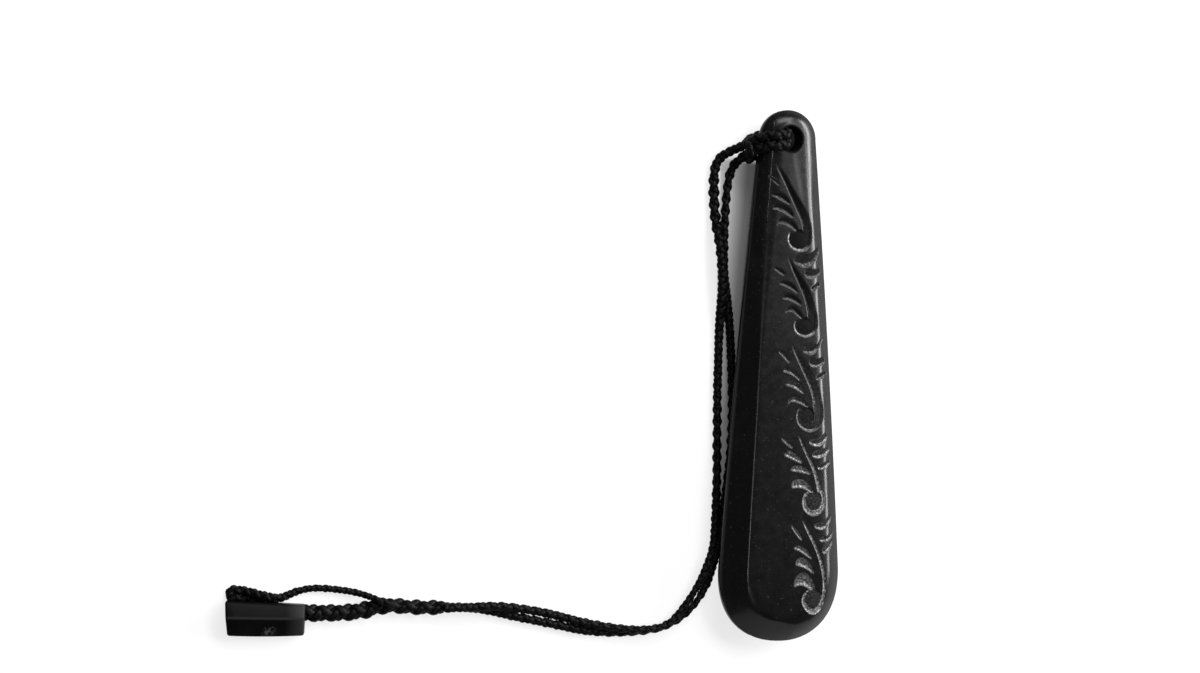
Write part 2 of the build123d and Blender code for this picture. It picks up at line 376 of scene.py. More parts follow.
# Columns: in millimetres the left border of the carving at two places along the stone, the
# shares it stays between, and how close the columns by the face's left edge come to both
CARVED_AT_Y = (-60.0, 50.0)
CARVED_FROM_X = (0.6, -7.2)
CARVED_BETWEEN = (-0.75, 0.4)
LEFT_EDGE_SHIFT = 0.02
LEFT_EDGE_REACH = 0.0005
CARVING_MARGIN = 0.03
FINE_SPREAD = 0.96
# The lines across bend into both ends by a power. At the blade they get shorter by another,
# down to a share, and at the head they end up to this angle round its end
LINE_BEND = 1.3
BLADE_SPREAD = 2.0
BLADE_CORNER = 0.70
HEAD_LINE_ANGLE = math.radians(46)
# The back has only these of the columns, counted from its left and its right side
BACK_LEFT = (0, 2, 5, 9)
BACK_FROM = 14
BACK_STEP = 17
BACK_RIGHT = (30, 18, 10, 4, 1)
# How much steeper than a plain bevel the back's bevel begins
BACK_HOLLOW = 0.3
# The width over which the left form goes over into the right form
MIDDLE_BLEND = 0.006
# Softness of the face's edges in millimetres, and how much softer they get towards the head
LEFT_SOFT = 0.34
LEFT_SOFTER = 1.50
RIGHT_SOFT = 0.90
RIGHT_SOFTER = 0.90
# Along the stone, the place and the length in which these three grow towards the head
ASIDE_GROWS = (-0.010, 0.060)
LEFT_SOFTENS = (0.005, 0.040)
RIGHT_SOFTENS = (0.047, 0.010)

HALF_LENGTH = STONE_LENGTH / 2
HEAD_CENTRE = HALF_LENGTH - HEAD_WIDTH / 2
WIDE_AT = WIDEST_FROM_BLADE - HALF_LENGTH
HOLE_Y = HALF_LENGTH - HOLE_FROM_HEAD
HOLE_SIDES = 96
RIM_STEPS = 8
CUTTER_PAST = 2 * MM


def half_width(y, inset, share):
    """Half the width at y of the outline drawn in by a share of the bevel's insets."""
    in_head, in_wide, in_apex, in_blade = (share * value for value in inset)
    head_x = HEAD_WIDTH / 2 - in_head
    wide_x = STONE_WIDTH / 2 - in_wide
    top = HALF_LENGTH - in_apex - HEAD_CENTRE
    drop = WIDEST_FROM_BLADE - in_blade
    rise = limited((y - HEAD_CENTRE) / top)
    at_head = head_x * np.sqrt(1 - rise**2)
    t = limited((y - WIDE_AT) / (HEAD_CENTRE - WIDE_AT))
    between = wide_x + (head_x - wide_x) * t + 4 * SIDE_BOW * t * (1 - t)
    fall = limited((WIDE_AT - y) / drop)
    at_blade = wide_x * (1 - fall**BLADE_ROUND) ** (1 / BLADE_SHOULDER)
    return np.where(y >= HEAD_CENTRE, at_head, np.where(y >= WIDE_AT, between, at_blade))


def blade_edge(x):
    """The outline's y at the blade, for a distance from the middle line."""
    inner = limited(np.abs(x) / (STONE_WIDTH / 2))
    return WIDE_AT - WIDEST_FROM_BLADE * (1 - inner**BLADE_SHOULDER) ** (1 / BLADE_ROUND)


def head_edge(x):
    """The outline's y at the head's round end."""
    return HEAD_CENTRE + np.sqrt(np.maximum(0.0, (HEAD_WIDTH / 2) ** 2 - x**2))


def column_shares(y):
    """Columns across the stone, from -1 to 1: close together at the face's left edge and over
    the carving, wide apart elsewhere."""
    width = half_width(y, FACE_INSET, 0.0)
    carved_from = np.interp(y / MM, CARVED_AT_Y, CARVED_FROM_X) * MM
    start = np.clip(carved_from / width, *CARVED_BETWEEN)
    edge = -half_width(y, FACE_INSET, 1.0) / width - LEFT_EDGE_SHIFT
    reach = LEFT_EDGE_REACH / width
    middle = np.minimum(edge + reach, start - CARVING_MARGIN)
    left = [
        np.linspace(-1.0, edge - reach, COARSE_COLUMNS, endpoint=False),
        np.linspace(edge - reach, middle, 2 * COARSE_COLUMNS, endpoint=False),
        np.linspace(middle, start, COARSE_COLUMNS, endpoint=False),
    ]
    right = start + (1 - start) * np.linspace(0.0, 1.0, FINE_COLUMNS) ** FINE_SPREAD
    return np.concatenate(left + [right])


def bent_line(shares, outer, bend, edge):
    """A line across, bent by a share (0 to 1) into the outline at one end of the stone."""
    x = shares * outer
    side_y = edge(outer)
    return x, side_y - bend**LINE_BEND * (side_y - edge(x))


def stone_lines():
    """Lines across the stone from blade to head: x and y of each column on each line."""
    lines = []
    shares = column_shares(WIDE_AT)
    for bend in np.linspace(1.0, 0.0, BLADE_LINES)[:-1]:
        outer = STONE_WIDTH / 2 * (1 - (1 - BLADE_CORNER) * bend**BLADE_SPREAD)
        lines.append(bent_line(shares, outer, bend, blade_edge))
    for y in np.linspace(WIDE_AT, HEAD_CENTRE, MIDDLE_LINES)[:-1]:
        shares = column_shares(y)
        lines.append((shares * half_width(y, FACE_INSET, 0.0), np.full(len(shares), y)))
    shares = column_shares(HEAD_CENTRE)
    for bend in np.linspace(0.0, 1.0, HEAD_LINES):
        outer = HEAD_WIDTH / 2 * math.cos(bend * HEAD_LINE_ANGLE)
        lines.append(bent_line(shares, outer, bend, head_edge))
    return np.array([x for x, _ in lines]), np.array([y for _, y in lines])


def share_inward(x, y, inset, deepest):
    """How far in from the outline (0) to the face's edge (1) and past it each point lies."""
    reach = np.abs(x)
    low = np.zeros(len(x))
    high = np.full(len(x), deepest)
    for _ in range(HALVINGS):
        middle = (low + high) / 2
        inside = reach < half_width(y, inset, middle)
        low = np.where(inside, middle, low)
        high = np.where(inside, high, middle)
    return low


def smooth_min(a, b, reach):
    """The lower of two heights, rounded where they meet."""
    blend = limited(0.5 + 0.5 * (b - a) / reach)
    return b + (a - b) * blend - reach * blend * (1 - blend)


def face_height(y):
    share = (y + HALF_LENGTH) / STONE_LENGTH
    return FACE_HEIGHT_BLADE + (FACE_HEIGHT_HEAD - FACE_HEIGHT_BLADE) * share


# The kinds of carved cuts: depth in millimetres, where across the cut it is deepest, the depth's
# share at the sloping edge, and over which shares of its length the cut grows deep and shallow
CUT_KINDS = {
    "nick": (0.28, 0.80, 0.0, 0.14, 0.10),
    "leaf": (0.42, 0.80, 0.0, 0.14, 0.10),
    "notch": (0.60, 0.80, 0.0, 0.14, 0.10),
    "stem": (0.62, 0.84, 0.0, 0.20, 0.24),
    "ring": (0.55, 0.70, 0.42, 0.20, 0.12),
    "band": (0.55, 0.66, 0.42, 0.06, 0.10),
    "line": (0.32, 0.50, 0.0, 0.10, 0.02),
}
# The carved cuts: kind, how light the floor and the steep wall are, then the edge the cut slopes
# down from and the edge its steep wall stands at, as x, y, x, y in tenths of a millimetre. The
# lightness is partly the frosted cut's own and partly painted light: walls that face the lamps
# and the cuts lower down the stone are painted lighter
CUTS = [
    ("nick", 0, 0.22, [-62, 526, -51, 522, -40, 516, -32, 505], [-63, 524, -55, 517, -45, 509, -34, 502]),
    ("leaf", 0, 0.22, [-57, 478, -47, 485, -34, 486, -20, 481, -9, 470, -2, 456],
     [-57, 476, -45, 472, -31, 466, -16, 458, -3, 452]),
    ("leaf", 0, 0.22, [-52, 443, -48, 454, -36, 459, -18, 455, -2, 443, 9, 424],
     [-52, 439, -37, 439, -23, 434, -9, 426, 5, 418]),
    ("leaf", 0, 0.22, [-41, 399, -34, 416, -21, 422, -5, 418, 10, 407, 19, 392, 22, 380],
     [-39, 396, -33, 404, -23, 404, -11, 399, 3, 392, 14, 383, 21, 376]),
    ("stem", 0, 0.07, [-42, 559, -28, 546, -13, 526, 3, 497, 18, 474, 33, 454, 47, 434, 56, 414, 61, 391,
      62, 371],
     [-46, 559, -35, 538, -20, 512, -5, 480, 6, 457, 17, 434, 27, 414, 33, 397, 33, 384, 29, 371]),
    ("ring", 0, 1, [27, 414, 33, 397, 38, 364, 34, 352, 23, 348, 12, 350, 6, 360, 7, 370, 15, 378],
     [56, 414, 61, 396, 62, 381, 62, 358, 54, 341, 38, 331, 21, 330, 1, 338, -10, 358, -7, 380]),
    ("nick", 0, 0.22, [-47, 287, -36, 285, -24, 281, -15, 272], [-47, 285, -37, 278, -27, 271, -17, 266]),
    ("leaf", 0, 0.22, [-30, 247, -21, 251, -8, 251, 6, 245, 16, 234, 21, 223],
     [-31, 245, -18, 241, -4, 235, 10, 228, 20, 220]),
    ("leaf", 0, 0.22, [-22, 209, -16, 216, -4, 220, 10, 216, 22, 206, 33, 192],
     [-22, 206, -10, 206, 4, 201, 18, 195, 32, 187]),
    ("leaf", 0, 0.22, [-16, 170, -10, 181, 1, 189, 12, 187, 25, 178, 34, 165, 39, 152],
     [-14, 168, -5, 174, 6, 174, 15, 167, 24, 159, 31, 155, 38, 148]),
    ("stem", 0, 0.07, [-8, 317, 1, 307, 10, 292, 26, 272, 38, 254, 51, 237, 59, 224, 66, 204, 74, 182,
      79, 166, 83, 147],
     [-10, 316, -4, 303, 5, 281, 16, 259, 27, 235, 37, 215, 44, 193, 49, 175, 50, 160, 49, 151, 46, 141]),
    ("ring", 0, 1, [44, 193, 49, 170, 56, 132, 52, 123, 41, 118, 31, 120, 24, 128, 24, 138, 31, 147],
     [72, 190, 79, 168, 82, 153, 83, 134, 74, 116, 58, 108, 42, 105, 20, 113, 10, 128, 12, 147]),
    ("notch", 0.02, 0.3, [6, 307, 16, 322, 33, 327, 51, 325, 66, 331, 78, 339, 85, 348],
     [8, 303, 22, 295, 40, 287, 59, 293, 75, 306, 85, 323, 89, 338]),
    ("notch", 0.02, 0.3, [39, 274, 42, 284, 52, 288, 65, 284, 78, 285, 90, 291],
     [40, 271, 46, 262, 57, 258, 68, 259, 80, 263, 93, 272]),
    ("notch", 0.02, 0.3, [58, 234, 67, 241, 78, 248, 89, 253], [59, 231, 65, 227, 76, 231, 91, 238]),
    ("nick", 0.08, 0.6, [-30, 69, -19, 65, -8, 55, 2, 40], [-32, 66, -23, 58, -13, 48, -1, 37]),
    ("leaf", 0.08, 0.6, [-19, 19, -10, 24, 5, 22, 17, 15, 25, 5, 31, -7],
     [-19, 16, -6, 13, 8, 7, 21, -2, 29, -9]),
    ("leaf", 0.08, 0.6, [-11, -17, -2, -9, 12, -7, 27, -14, 36, -26, 42, -41],
     [-12, -20, 3, -23, 18, -30, 31, -38, 41, -44]),
    ("leaf", 0.08, 0.6, [-5, -68, -2, -56, 9, -48, 25, -51, 40, -59, 51, -69, 57, -78],
     [-3, -71, 6, -63, 16, -63, 30, -68, 42, -73, 54, -81]),
    ("stem", 0.04, 0.26, [6, 86, 20, 73, 39, 50, 58, 20, 74, -6, 86, -27, 95, -54, 101, -78, 105, -95],
     [4, 84, 12, 65, 25, 40, 38, 13, 50, -11, 60, -34, 67, -57, 70, -78, 69, -91]),
    ("ring", 0.05, 0.75, [65, -49, 69, -70, 74, -104, 71, -119, 59, -125, 45, -124, 34, -115, 30, -101,
      32, -88, 37, -80],
     [94, -50, 100, -70, 103, -85, 103, -108, 93, -127, 76, -140, 57, -144, 38, -136, 24, -123, 20, -103,
      26, -81]),
    ("notch", 0.03, 0.38, [38, 73, 48, 87, 62, 90, 76, 83, 85, 93, 94, 104],
     [37, 67, 52, 61, 68, 60, 81, 73, 93, 88, 101, 102]),
    ("notch", 0.03, 0.38, [55, 41, 59, 50, 72, 49, 88, 49, 105, 58],
     [56, 37, 64, 26, 77, 25, 93, 28, 108, 37]),
    ("notch", 0.03, 0.38, [75, -1, 84, 8, 98, 13, 113, 16], [76, -5, 88, -7, 102, -2, 116, 6]),
    ("nick", 0.22, 0.9, [-21, -159, -10, -165, 1, -174, 12, -184],
     [-22, -161, -12, -171, -1, -180, 11, -187]),
    ("leaf", 0.22, 0.9, [-13, -200, -2, -192, 8, -194, 20, -203, 31, -212, 40, -222],
     [-13, -204, 1, -211, 13, -216, 26, -222, 39, -226]),
    ("leaf", 0.22, 0.9, [5, -240, 15, -231, 33, -232, 47, -239, 64, -251],
     [5, -245, 20, -246, 39, -250, 64, -255]),
    ("leaf", 0.22, 0.9, [7, -284, 11, -272, 24, -266, 42, -268, 56, -278, 65, -291, 72, -300],
     [9, -291, 24, -289, 39, -290, 50, -295, 61, -302, 70, -305]),
    ("line", 0.5, 0.8, [28, -153, 42, -180, 58, -212, 72, -235, 82, -259, 90, -282, 96, -304],
     [25, -154, 37, -180, 52, -212, 64, -235, 73, -259, 79, -282, 83, -304]),
    ("band", 0.55, 1, [89, -300, 97, -313, 98, -328, 93, -342, 81, -351, 67, -352, 55, -345, 49, -332,
      49, -319, 53, -309, 61, -304],
     [97, -298, 109, -311, 112, -330, 105, -347, 90, -360, 72, -366, 53, -359, 42, -344, 39, -325,
      44, -308, 56, -300]),
    ("notch", 0.08, 0.95, [56, -167, 67, -160, 85, -158, 101, -152, 114, -140],
     [58, -173, 71, -181, 87, -182, 103, -177, 117, -161]),
    ("notch", 0.08, 0.95, [66, -202, 74, -192, 90, -190, 110, -188, 125, -180],
     [67, -208, 79, -213, 94, -212, 111, -206, 127, -194]),
    ("notch", 0.08, 0.95, [82, -235, 94, -229, 110, -224, 127, -215],
     [84, -241, 98, -244, 112, -239, 129, -229]),
    ("nick", 0.22, 0.9, [10, -386, 21, -397, 31, -408, 41, -425],
     [8, -389, 17, -405, 27, -417, 39, -430]),
    ("leaf", 0.22, 0.9, [17, -446, 30, -441, 44, -446, 57, -457, 70, -474],
     [17, -450, 32, -455, 46, -465, 68, -478]),
    ("leaf", 0.22, 0.9, [21, -489, 25, -479, 35, -472, 52, -477, 65, -491, 77, -513],
     [22, -493, 36, -496, 51, -502, 64, -510, 75, -517]),
    ("leaf", 0.22, 0.9, [16, -546, 21, -527, 33, -515, 49, -512, 64, -522, 75, -542, 81, -565],
     [18, -552, 29, -546, 42, -546, 55, -552, 68, -562, 78, -569]),
    ("line", 0.5, 0.8, [43, -376, 60, -407, 76, -434, 89, -461, 101, -492, 109, -522, 112, -546,
      112, -573],
     [39, -377, 54, -407, 69, -434, 82, -461, 92, -492, 100, -522, 103, -546, 102, -573]),
    ("band", 0.55, 1, [103, -559, 100, -581, 94, -599, 82, -610, 69, -611, 56, -601, 50, -588, 52, -576,
      59, -567, 67, -564],
     [113, -560, 112, -585, 107, -611, 93, -623, 78, -627, 61, -621, 46, -605, 40, -588, 44, -572,
      59, -559]),
    ("notch", 0.08, 0.9, [73, -388, 86, -381, 103, -380, 119, -370, 131, -357],
     [75, -395, 88, -401, 104, -401, 118, -391, 132, -375]),
    ("notch", 0.08, 0.9, [89, -426, 99, -419, 115, -422, 128, -414, 137, -401],
     [91, -431, 105, -434, 119, -431, 133, -423, 139, -413]),
    ("notch", 0.08, 0.9, [99, -456, 107, -442, 120, -433, 135, -425],
     [101, -463, 115, -464, 127, -453, 138, -437]),
]
# The round ends' middles, in millimetres: place, radius and depth, and then lightness, partly painted
# light
BULBS = [
    (2.4, 36.2, 2.2, 0.44, 0.0),
    (4.2, 13.2, 2.2, 0.44, 0.0),
    (5.1, -10.3, 2.1, 0.30, 0.02),
    (7.3, -32.8, 2.5, 0.24, 0.05),
    (7.5, -58.7, 2.7, 0.24, 0.04),
]
# A cut is as deep as its kind where it is at least this share of its greatest width
FULL_WIDTH = 0.55
WIDTH_POWER = 0.8
EDGE_POINTS = 40
SMOOTHINGS = 3
# Across a cut the steep wall's lightness, painted light where it faces the lamps, begins here and
# takes so much to be full
WALL_FROM = 0.72
WALL_BLEND = 0.10
# Along a ring the wall is painted lit from here on, and the rest of it only by the last share
LIT_FROM = 0.42
LIT_BLEND = 0.18
UNLIT = 0.04
# A round end's depth at its middle, as a share of that at its rim
BULB_MIDDLE = 0.55
# Depths in millimetres at which a cut has its full lightness and its full dullness
LIGHT_DEPTH = 0.08
DULL_DEPTH = 0.06


def smoothed(edge):
    """A cut's edge as a line of points in millimetres, its corners cut until it is smooth."""
    line = np.array(edge, float).reshape(-1, 2) / 10
    for _ in range(SMOOTHINGS):
        near = 0.75 * line[:-1] + 0.25 * line[1:]
        far = 0.25 * line[:-1] + 0.75 * line[1:]
        between = np.stack([near, far], axis=1).reshape(-1, 2)
        line = np.concatenate([line[:1], between, line[-1:]])
    return line


def floor_profile(u, deepest, start):
    """Depth share across a cut, from its sloping edge (0) to its steep edge (1)."""
    slope = start + (1 - start) * limited(u / deepest)
    wall = limited((1 - u) / (1 - deepest))
    return slope * wall


def end_fade(t, rise, fall):
    """How a cut grows shallow towards its two ends."""
    return limited(t / rise) * limited((1 - t) / fall)


def matched(first, second):
    """The two edges of a cut as lines with the same number of points."""
    return [even_points(smoothed(edge), EDGE_POINTS)[0] for edge in (first, second)]


def cut_depth(points, kind, first, second):
    """Depth, and place across and along one cut, at points in millimetres."""
    depth, deepest, start, rise, fall = CUT_KINDS[kind]
    a, b = matched(first, second)
    both = np.concatenate([a, b])
    near = np.all((points > both.min(axis=0)) & (points < both.max(axis=0)), axis=1)
    result, across, along = np.zeros((3, len(points)))
    if not near.any():
        return result, across, along
    place = points[near][:, None]
    span = b - a
    wide = np.linalg.norm(span, axis=1)
    # Which side of each line from edge to edge a point lies on
    off = place - a
    sided = (span[:, 0] * off[..., 1] - span[:, 1] * off[..., 0]) / wide
    inside = (sided[:, :-1] * sided[:, 1:]) <= 0
    share = np.abs(sided[:, :-1]) / np.maximum(np.abs(sided[:, :-1]) + np.abs(sided[:, 1:]), 1e-9)
    on_a = a[:-1] + share[..., None] * (a[1:] - a[:-1])
    on_b = b[:-1] + share[..., None] * (b[1:] - b[:-1])
    here = np.maximum(np.hypot(*np.moveaxis(on_b - on_a, 2, 0)), 1e-6)
    u = np.sum((place - on_a) * (on_b - on_a), axis=2) / here**2
    inside &= (u >= 0) & (u <= 1)
    full = np.minimum(1.0, (here / (FULL_WIDTH * wide.max())) ** WIDTH_POWER)
    t = (np.arange(len(a) - 1) + share) / (len(a) - 1)
    full = full * end_fade(t, rise, fall)
    values = np.where(inside, depth * full * floor_profile(u, deepest, start), 0.0)
    best = values.argmax(axis=1)
    rows = np.arange(len(best))
    result[near] = values[rows, best]
    across[near] = np.where(result[near] > 0, u[rows, best], 0.0)
    along[near] = t[rows, best]
    return result, across, along


def carving(x, y):
    """Depth, lightness (frost and painted light) and dullness of all the carved cuts at points given in
    metres.
    """
    points = np.stack([x, y], axis=1) / MM
    depth = np.zeros(len(x))
    light = np.zeros(len(x))
    for kind, floor_light, wall_light, first, second in CUTS:
        cut, across, along = cut_depth(points, kind, first, second)
        # The steep wall is painted lighter than the floor, where the lamps would fall on it
        wall = limited((across - WALL_FROM) / WALL_BLEND)
        if kind == "ring":
            wall = wall * np.clip((along - LIT_FROM) / LIT_BLEND, UNLIT, 1.0)
        seen = limited(cut / LIGHT_DEPTH)
        shade = (floor_light + (wall_light - floor_light) * wall) * seen
        light = np.where(cut > depth, shade, light)
        depth = np.maximum(depth, cut)
    for middle_x, middle_y, radius, deep, shade in BULBS:
        off = np.hypot(points[:, 0] - middle_x, points[:, 1] - middle_y) / radius
        bowl = np.where(off < 1, deep * (BULB_MIDDLE + (1 - BULB_MIDDLE) * off**2), 0.0)
        light = np.where(bowl > depth, shade, light)
        depth = np.maximum(depth, bowl)
    return depth * MM, light, limited(depth / DULL_DEPTH)


def bevel_rise(share, slopes):
    """Height share across a bevel whose steepness changes from the outline to the face."""
    places = np.linspace(0.0, 1.0, 101)
    steepness = np.interp(places, np.linspace(0.0, 1.0, len(slopes)), slopes)
    height = np.concatenate([[0.0], np.cumsum((steepness[1:] + steepness[:-1]) / 2)])
    scale = height[-1]
    inside = np.interp(np.minimum(share, 1.0), places, height / scale)
    return inside + slopes[-1] * 100 / scale * np.maximum(share - 1.0, 0.0)


def rightness(x):
    """0 on the stone's left, 1 on its right, with a soft step between."""
    return limited(0.5 + x / MIDDLE_BLEND)


def grown(y, start, reach):
    """0 up to a place along the stone, and 1 from the reach past it."""
    return limited((y - start) / reach)


def rim_rise(x, y):
    """How much higher the wall is on the right."""
    risen = limited((RIM_FROM - y) / RIM_REACH)
    kept = limited(RIM_SHARE_AT_BLADE + (y + HALF_LENGTH) / RIM_FALL)
    along = risen * kept
    return RIM_RISE * along * rightness(x)


def front_height(x, y):
    """Height of the face and the bevels round it, before carving."""
    share = share_inward(x, y, FACE_INSET, DEEPEST_SHARE)
    # Towards the head the face lies a little to the left of the outline's middle
    aside = FACE_ASIDE * grown(y, *ASIDE_GROWS) * np.minimum(share, 1.0)
    share = share_inward(x + aside, y, FACE_INSET, DEEPEST_SHARE)
    plane = face_height(y)
    left_bevel = bevel_rise(share, LEFT_SLOPES)
    right_bevel = bevel_rise(share, RIGHT_SLOPES)
    bevel = left_bevel + (right_bevel - left_bevel) * rightness(x)
    # On the left the face's edge is crisp towards the blade and soft at the head
    left_soft = LEFT_SOFT + LEFT_SOFTER * grown(y, *LEFT_SOFTENS)
    right_soft = RIGHT_SOFT + RIGHT_SOFTER * grown(y, *RIGHT_SOFTENS)
    softness = (left_soft + (right_soft - left_soft) * rightness(x)) * MM
    rim = EDGE_TOP + rim_rise(x, y)
    # The face is ground a little round from side to side
    reach = np.maximum(half_width(y, FACE_INSET, 1.0), CROWN_LEAST_REACH)
    crown = FACE_CROWN * reach * (1 - np.minimum(1.0, np.abs(x) / reach) ** 2)
    return smooth_min(rim + (plane - rim) * bevel, plane + crown, softness)


def back_height(x, y):
    """Height of the back: flat, rounded towards the outline and ground away under the head."""
    share = np.minimum(share_inward(x, y, BACK_INSET, 1.0), 1.0)
    relief = RELIEF_DEPTH * np.maximum(0.0, y - (HALF_LENGTH - RELIEF_LENGTH)) / RELIEF_LENGTH
    return np.maximum(EDGE_BOTTOM * (1 - share * (1 + BACK_HOLLOW - BACK_HOLLOW * share)), relief)


def make_stone():
    lines_x, lines_y = stone_lines()
    count, across = lines_x.shape
    x = lines_x.ravel()
    y = lines_y.ravel()
    depth, light, dull = carving(x, y)
    # The higher wall leans in
    share = share_inward(x, y, FACE_INSET, DEEPEST_SHARE)
    lean = RIM_LEAN * rim_rise(x, y) * limited(1 - share / LEAN_DEPTH)
    front = np.stack([x - lean, y, front_height(x, y) - depth], axis=1)
    picked = np.unique(np.concatenate([
        BACK_LEFT, np.arange(BACK_FROM, across - BACK_FROM, BACK_STEP), across - np.array(BACK_RIGHT),
    ]))[::-1]
    back_x = lines_x[:, picked].ravel()
    back_y = lines_y[:, picked].ravel()
    back = np.stack([back_x, back_y, back_height(back_x, back_y)], axis=1)
    under = len(picked)
    around = across + under
    rings = np.concatenate([front.reshape(count, across, 3), back.reshape(count, under, 3)], axis=1)
    faces = ring_faces(count, around)
    # At both ends the front's last line and the back's last line are joined by a band
    for ring, turned in ((0, False), (count - 1, True)):
        start = ring * around
        places = list(picked[::-1])
        for k in range(under - 1):
            low = start + around - 1 - k
            band = [start + place for place in range(places[k], places[k + 1] + 1)]
            face = band + [low - 1, low]
            faces.append(tuple(face if turned else reversed(face)))
    stone = link_mesh("carved_stone", rings.reshape(-1, 3), faces)
    # The cuts' lightness, frosted stone with painted light on their walls, and their dullness
    for name, values in (("cut_frost_and_painted_light", light), ("cut_dull", dull)):
        level = np.zeros((count, around), np.float32)
        level[:, :across] = values.reshape(count, across)
        attribute = stone.data.attributes.new(name, "FLOAT", "POINT")
        attribute.data.foreach_set("value", level.ravel())
    return stone


def rim_points(first, last):
    """Radius, and height from the rim's start, along the quarter circle of a rounded rim."""
    for angle in np.linspace(first, last, RIM_STEPS):
        yield HOLE_RADIUS + HOLE_RIM * (1 - math.sin(angle)), HOLE_RIM * (1 - math.cos(angle))


def make_hole_cutter():
    """A drill shape that flares at both ends, so that the hole gets rounded rims."""
    top = face_height(HOLE_Y)
    bottom = RELIEF_DEPTH * (HOLE_Y - HALF_LENGTH + RELIEF_LENGTH) / RELIEF_LENGTH
    outline = [(HOLE_RADIUS + HOLE_RIM, bottom - CUTTER_PAST)]
    outline += [(radius, bottom + rise) for radius, rise in rim_points(0, math.pi / 2)]
    outline += [(radius, top - rise) for radius, rise in rim_points(math.pi / 2, 0)]
    outline.append((HOLE_RADIUS + HOLE_RIM, top + CUTTER_PAST))
    slope = (FACE_HEIGHT_HEAD - FACE_HEIGHT_BLADE) / STONE_LENGTH
    vertices = []
    for radius, height in outline:
        for k in range(HOLE_SIDES):
            angle = 2 * math.pi * k / HOLE_SIDES
            off = radius * math.sin(angle)
            tilt = slope * radius * math.sin(angle)
            vertices.append((radius * math.cos(angle), HOLE_Y + off, height + tilt))
    return link_mesh("hole_cutter", vertices, closed_tube_faces(len(outline), HOLE_SIDES))


def cut_away(piece, cutter):
    cut = piece.modifiers.new("cut", "BOOLEAN")
    cut.operation = "DIFFERENCE"
    cut.solver = "MANIFOLD"
    cut.object = cutter
    apply_modifiers(piece)
    bpy.data.objects.remove(cutter)


def apply_modifiers(piece):
    bpy.context.view_layer.update()
    graph = bpy.context.evaluated_depsgraph_get()
    mesh = bpy.data.meshes.new_from_object(piece.evaluated_get(graph))
    piece.modifiers.clear()
    piece.data = mesh
    mesh.materials.clear()


# Toggle bar, as its solid
TOGGLE_END = (-0.1264, -0.0623)
TOGGLE_TURN = math.radians(-2.0)
TOGGLE_LENGTH = 0.0206
TOGGLE_DEPTH_FAR = 0.0084
TOGGLE_DEPTH_NEAR = 0.0078
TOGGLE_RIDGE = 0.0056
TOGGLE_SLANT = 0.30
TOGGLE_FRONT_SHARE = 0.62
TOGGLE_BACK_SHARE = 0.72
TOGGLE_RIDGE_SHARE = 0.15
# Only here: its edges are ground round
TOGGLE_ROUNDING = 0.00055
TOGGLE_ROUND_STEPS = 4
TOGGLE_EDGES_FROM = math.radians(12)
TOGGLE_STATIONS = 9
# Only here: the front bows out, the far end is deeper behind and cut askew
TOGGLE_BOW = 0.0009
TOGGLE_DEEPER = 0.0004
TOGGLE_ASKEW = 0.0009


def make_toggle():
    """A small bar with a ridge and slanting ends, its edges ground round."""
    vertices = []
    for share in np.linspace(0.0, 1.0, TOGGLE_STATIONS):
        depth = TOGGLE_DEPTH_FAR + (TOGGLE_DEPTH_NEAR - TOGGLE_DEPTH_FAR) * share
        half = depth / 2
        front = half + TOGGLE_BOW * share * (1 - share)
        behind = half + TOGGLE_DEEPER * (1 - share)
        for side, height in (
            (-front, 0.0),
            (-front, TOGGLE_FRONT_SHARE * TOGGLE_RIDGE),
            (TOGGLE_RIDGE_SHARE * half, TOGGLE_RIDGE),
            (behind, TOGGLE_BACK_SHARE * TOGGLE_RIDGE),
            (behind, 0.0),
        ):
            askew = TOGGLE_ASKEW * (1 - share) * (0.5 - side / depth)
            along = askew - TOGGLE_LENGTH * (1 - share) - TOGGLE_SLANT * height
            x = TOGGLE_END[0] + along * math.cos(TOGGLE_TURN) - side * math.sin(TOGGLE_TURN)
            y = TOGGLE_END[1] + along * math.sin(TOGGLE_TURN) + side * math.cos(TOGGLE_TURN)
            vertices.append((x, y, height))
    corners = len(vertices) // TOGGLE_STATIONS
    # Its corners go round the other way than a ply's points, so the faces are turned over
    faces = [face[:1] + face[:0:-1] for face in ring_faces(TOGGLE_STATIONS, corners)]
    faces.append(tuple(range(corners)))
    faces.append(tuple(reversed(range(len(vertices) - corners, len(vertices)))))
    toggle = link_mesh("toggle_bar", vertices, faces)
    rounding = toggle.modifiers.new("rounding", "BEVEL")
    rounding.width = TOGGLE_ROUNDING
    rounding.segments = TOGGLE_ROUND_STEPS
    rounding.limit_method = "ANGLE"
    rounding.angle_limit = TOGGLE_EDGES_FROM
    apply_modifiers(toggle)
    toggle.data.shade_smooth()
    return toggle


def give(tree, node, values):
    """Sets a node's inputs, each to a value or to another node's output."""
    for name, value in values.items():
        if isinstance(value, bpy.types.NodeSocket):
            tree.links.new(value, node.inputs[name])
        else:
            node.inputs[name].default_value = value


def made(tree, kind, values):
    node = tree.nodes.new(kind)
    give(tree, node, values)
    return node


def as_colour(value):
    return value if isinstance(value, bpy.types.NodeSocket) else (value, value, value, 1.0)


def new_material(name):
    material = bpy.data.materials.new(name)
    material.use_nodes = True
    tree = material.node_tree
    tree.nodes.clear()
    shader = tree.nodes.new("ShaderNodeBsdfPrincipled")
    made(tree, "ShaderNodeOutputMaterial", {"Surface": shader.outputs[0]})
    return material, tree, shader


def object_coordinates(tree):
    return tree.nodes.new("ShaderNodeTexCoord").outputs["Object"]


def noise(tree, coordinates, scale, detail, roughness):
    values = {"Vector": coordinates, "Scale": scale, "Detail": detail, "Roughness": roughness}
    return made(tree, "ShaderNodeTexNoise", values).outputs["Fac"]


def ramp(tree, value, stops):
    """Turns a number into a grey that is given at some of its values."""
    node = made(tree, "ShaderNodeValToRGB", {"Fac": value})
    elements = node.color_ramp.elements
    while len(elements) < len(stops):
        elements.new(0.5)
    for element, (place, grey) in zip(elements, stops):
        element.position = place
        element.color = as_colour(grey)
    return node.outputs["Color"]


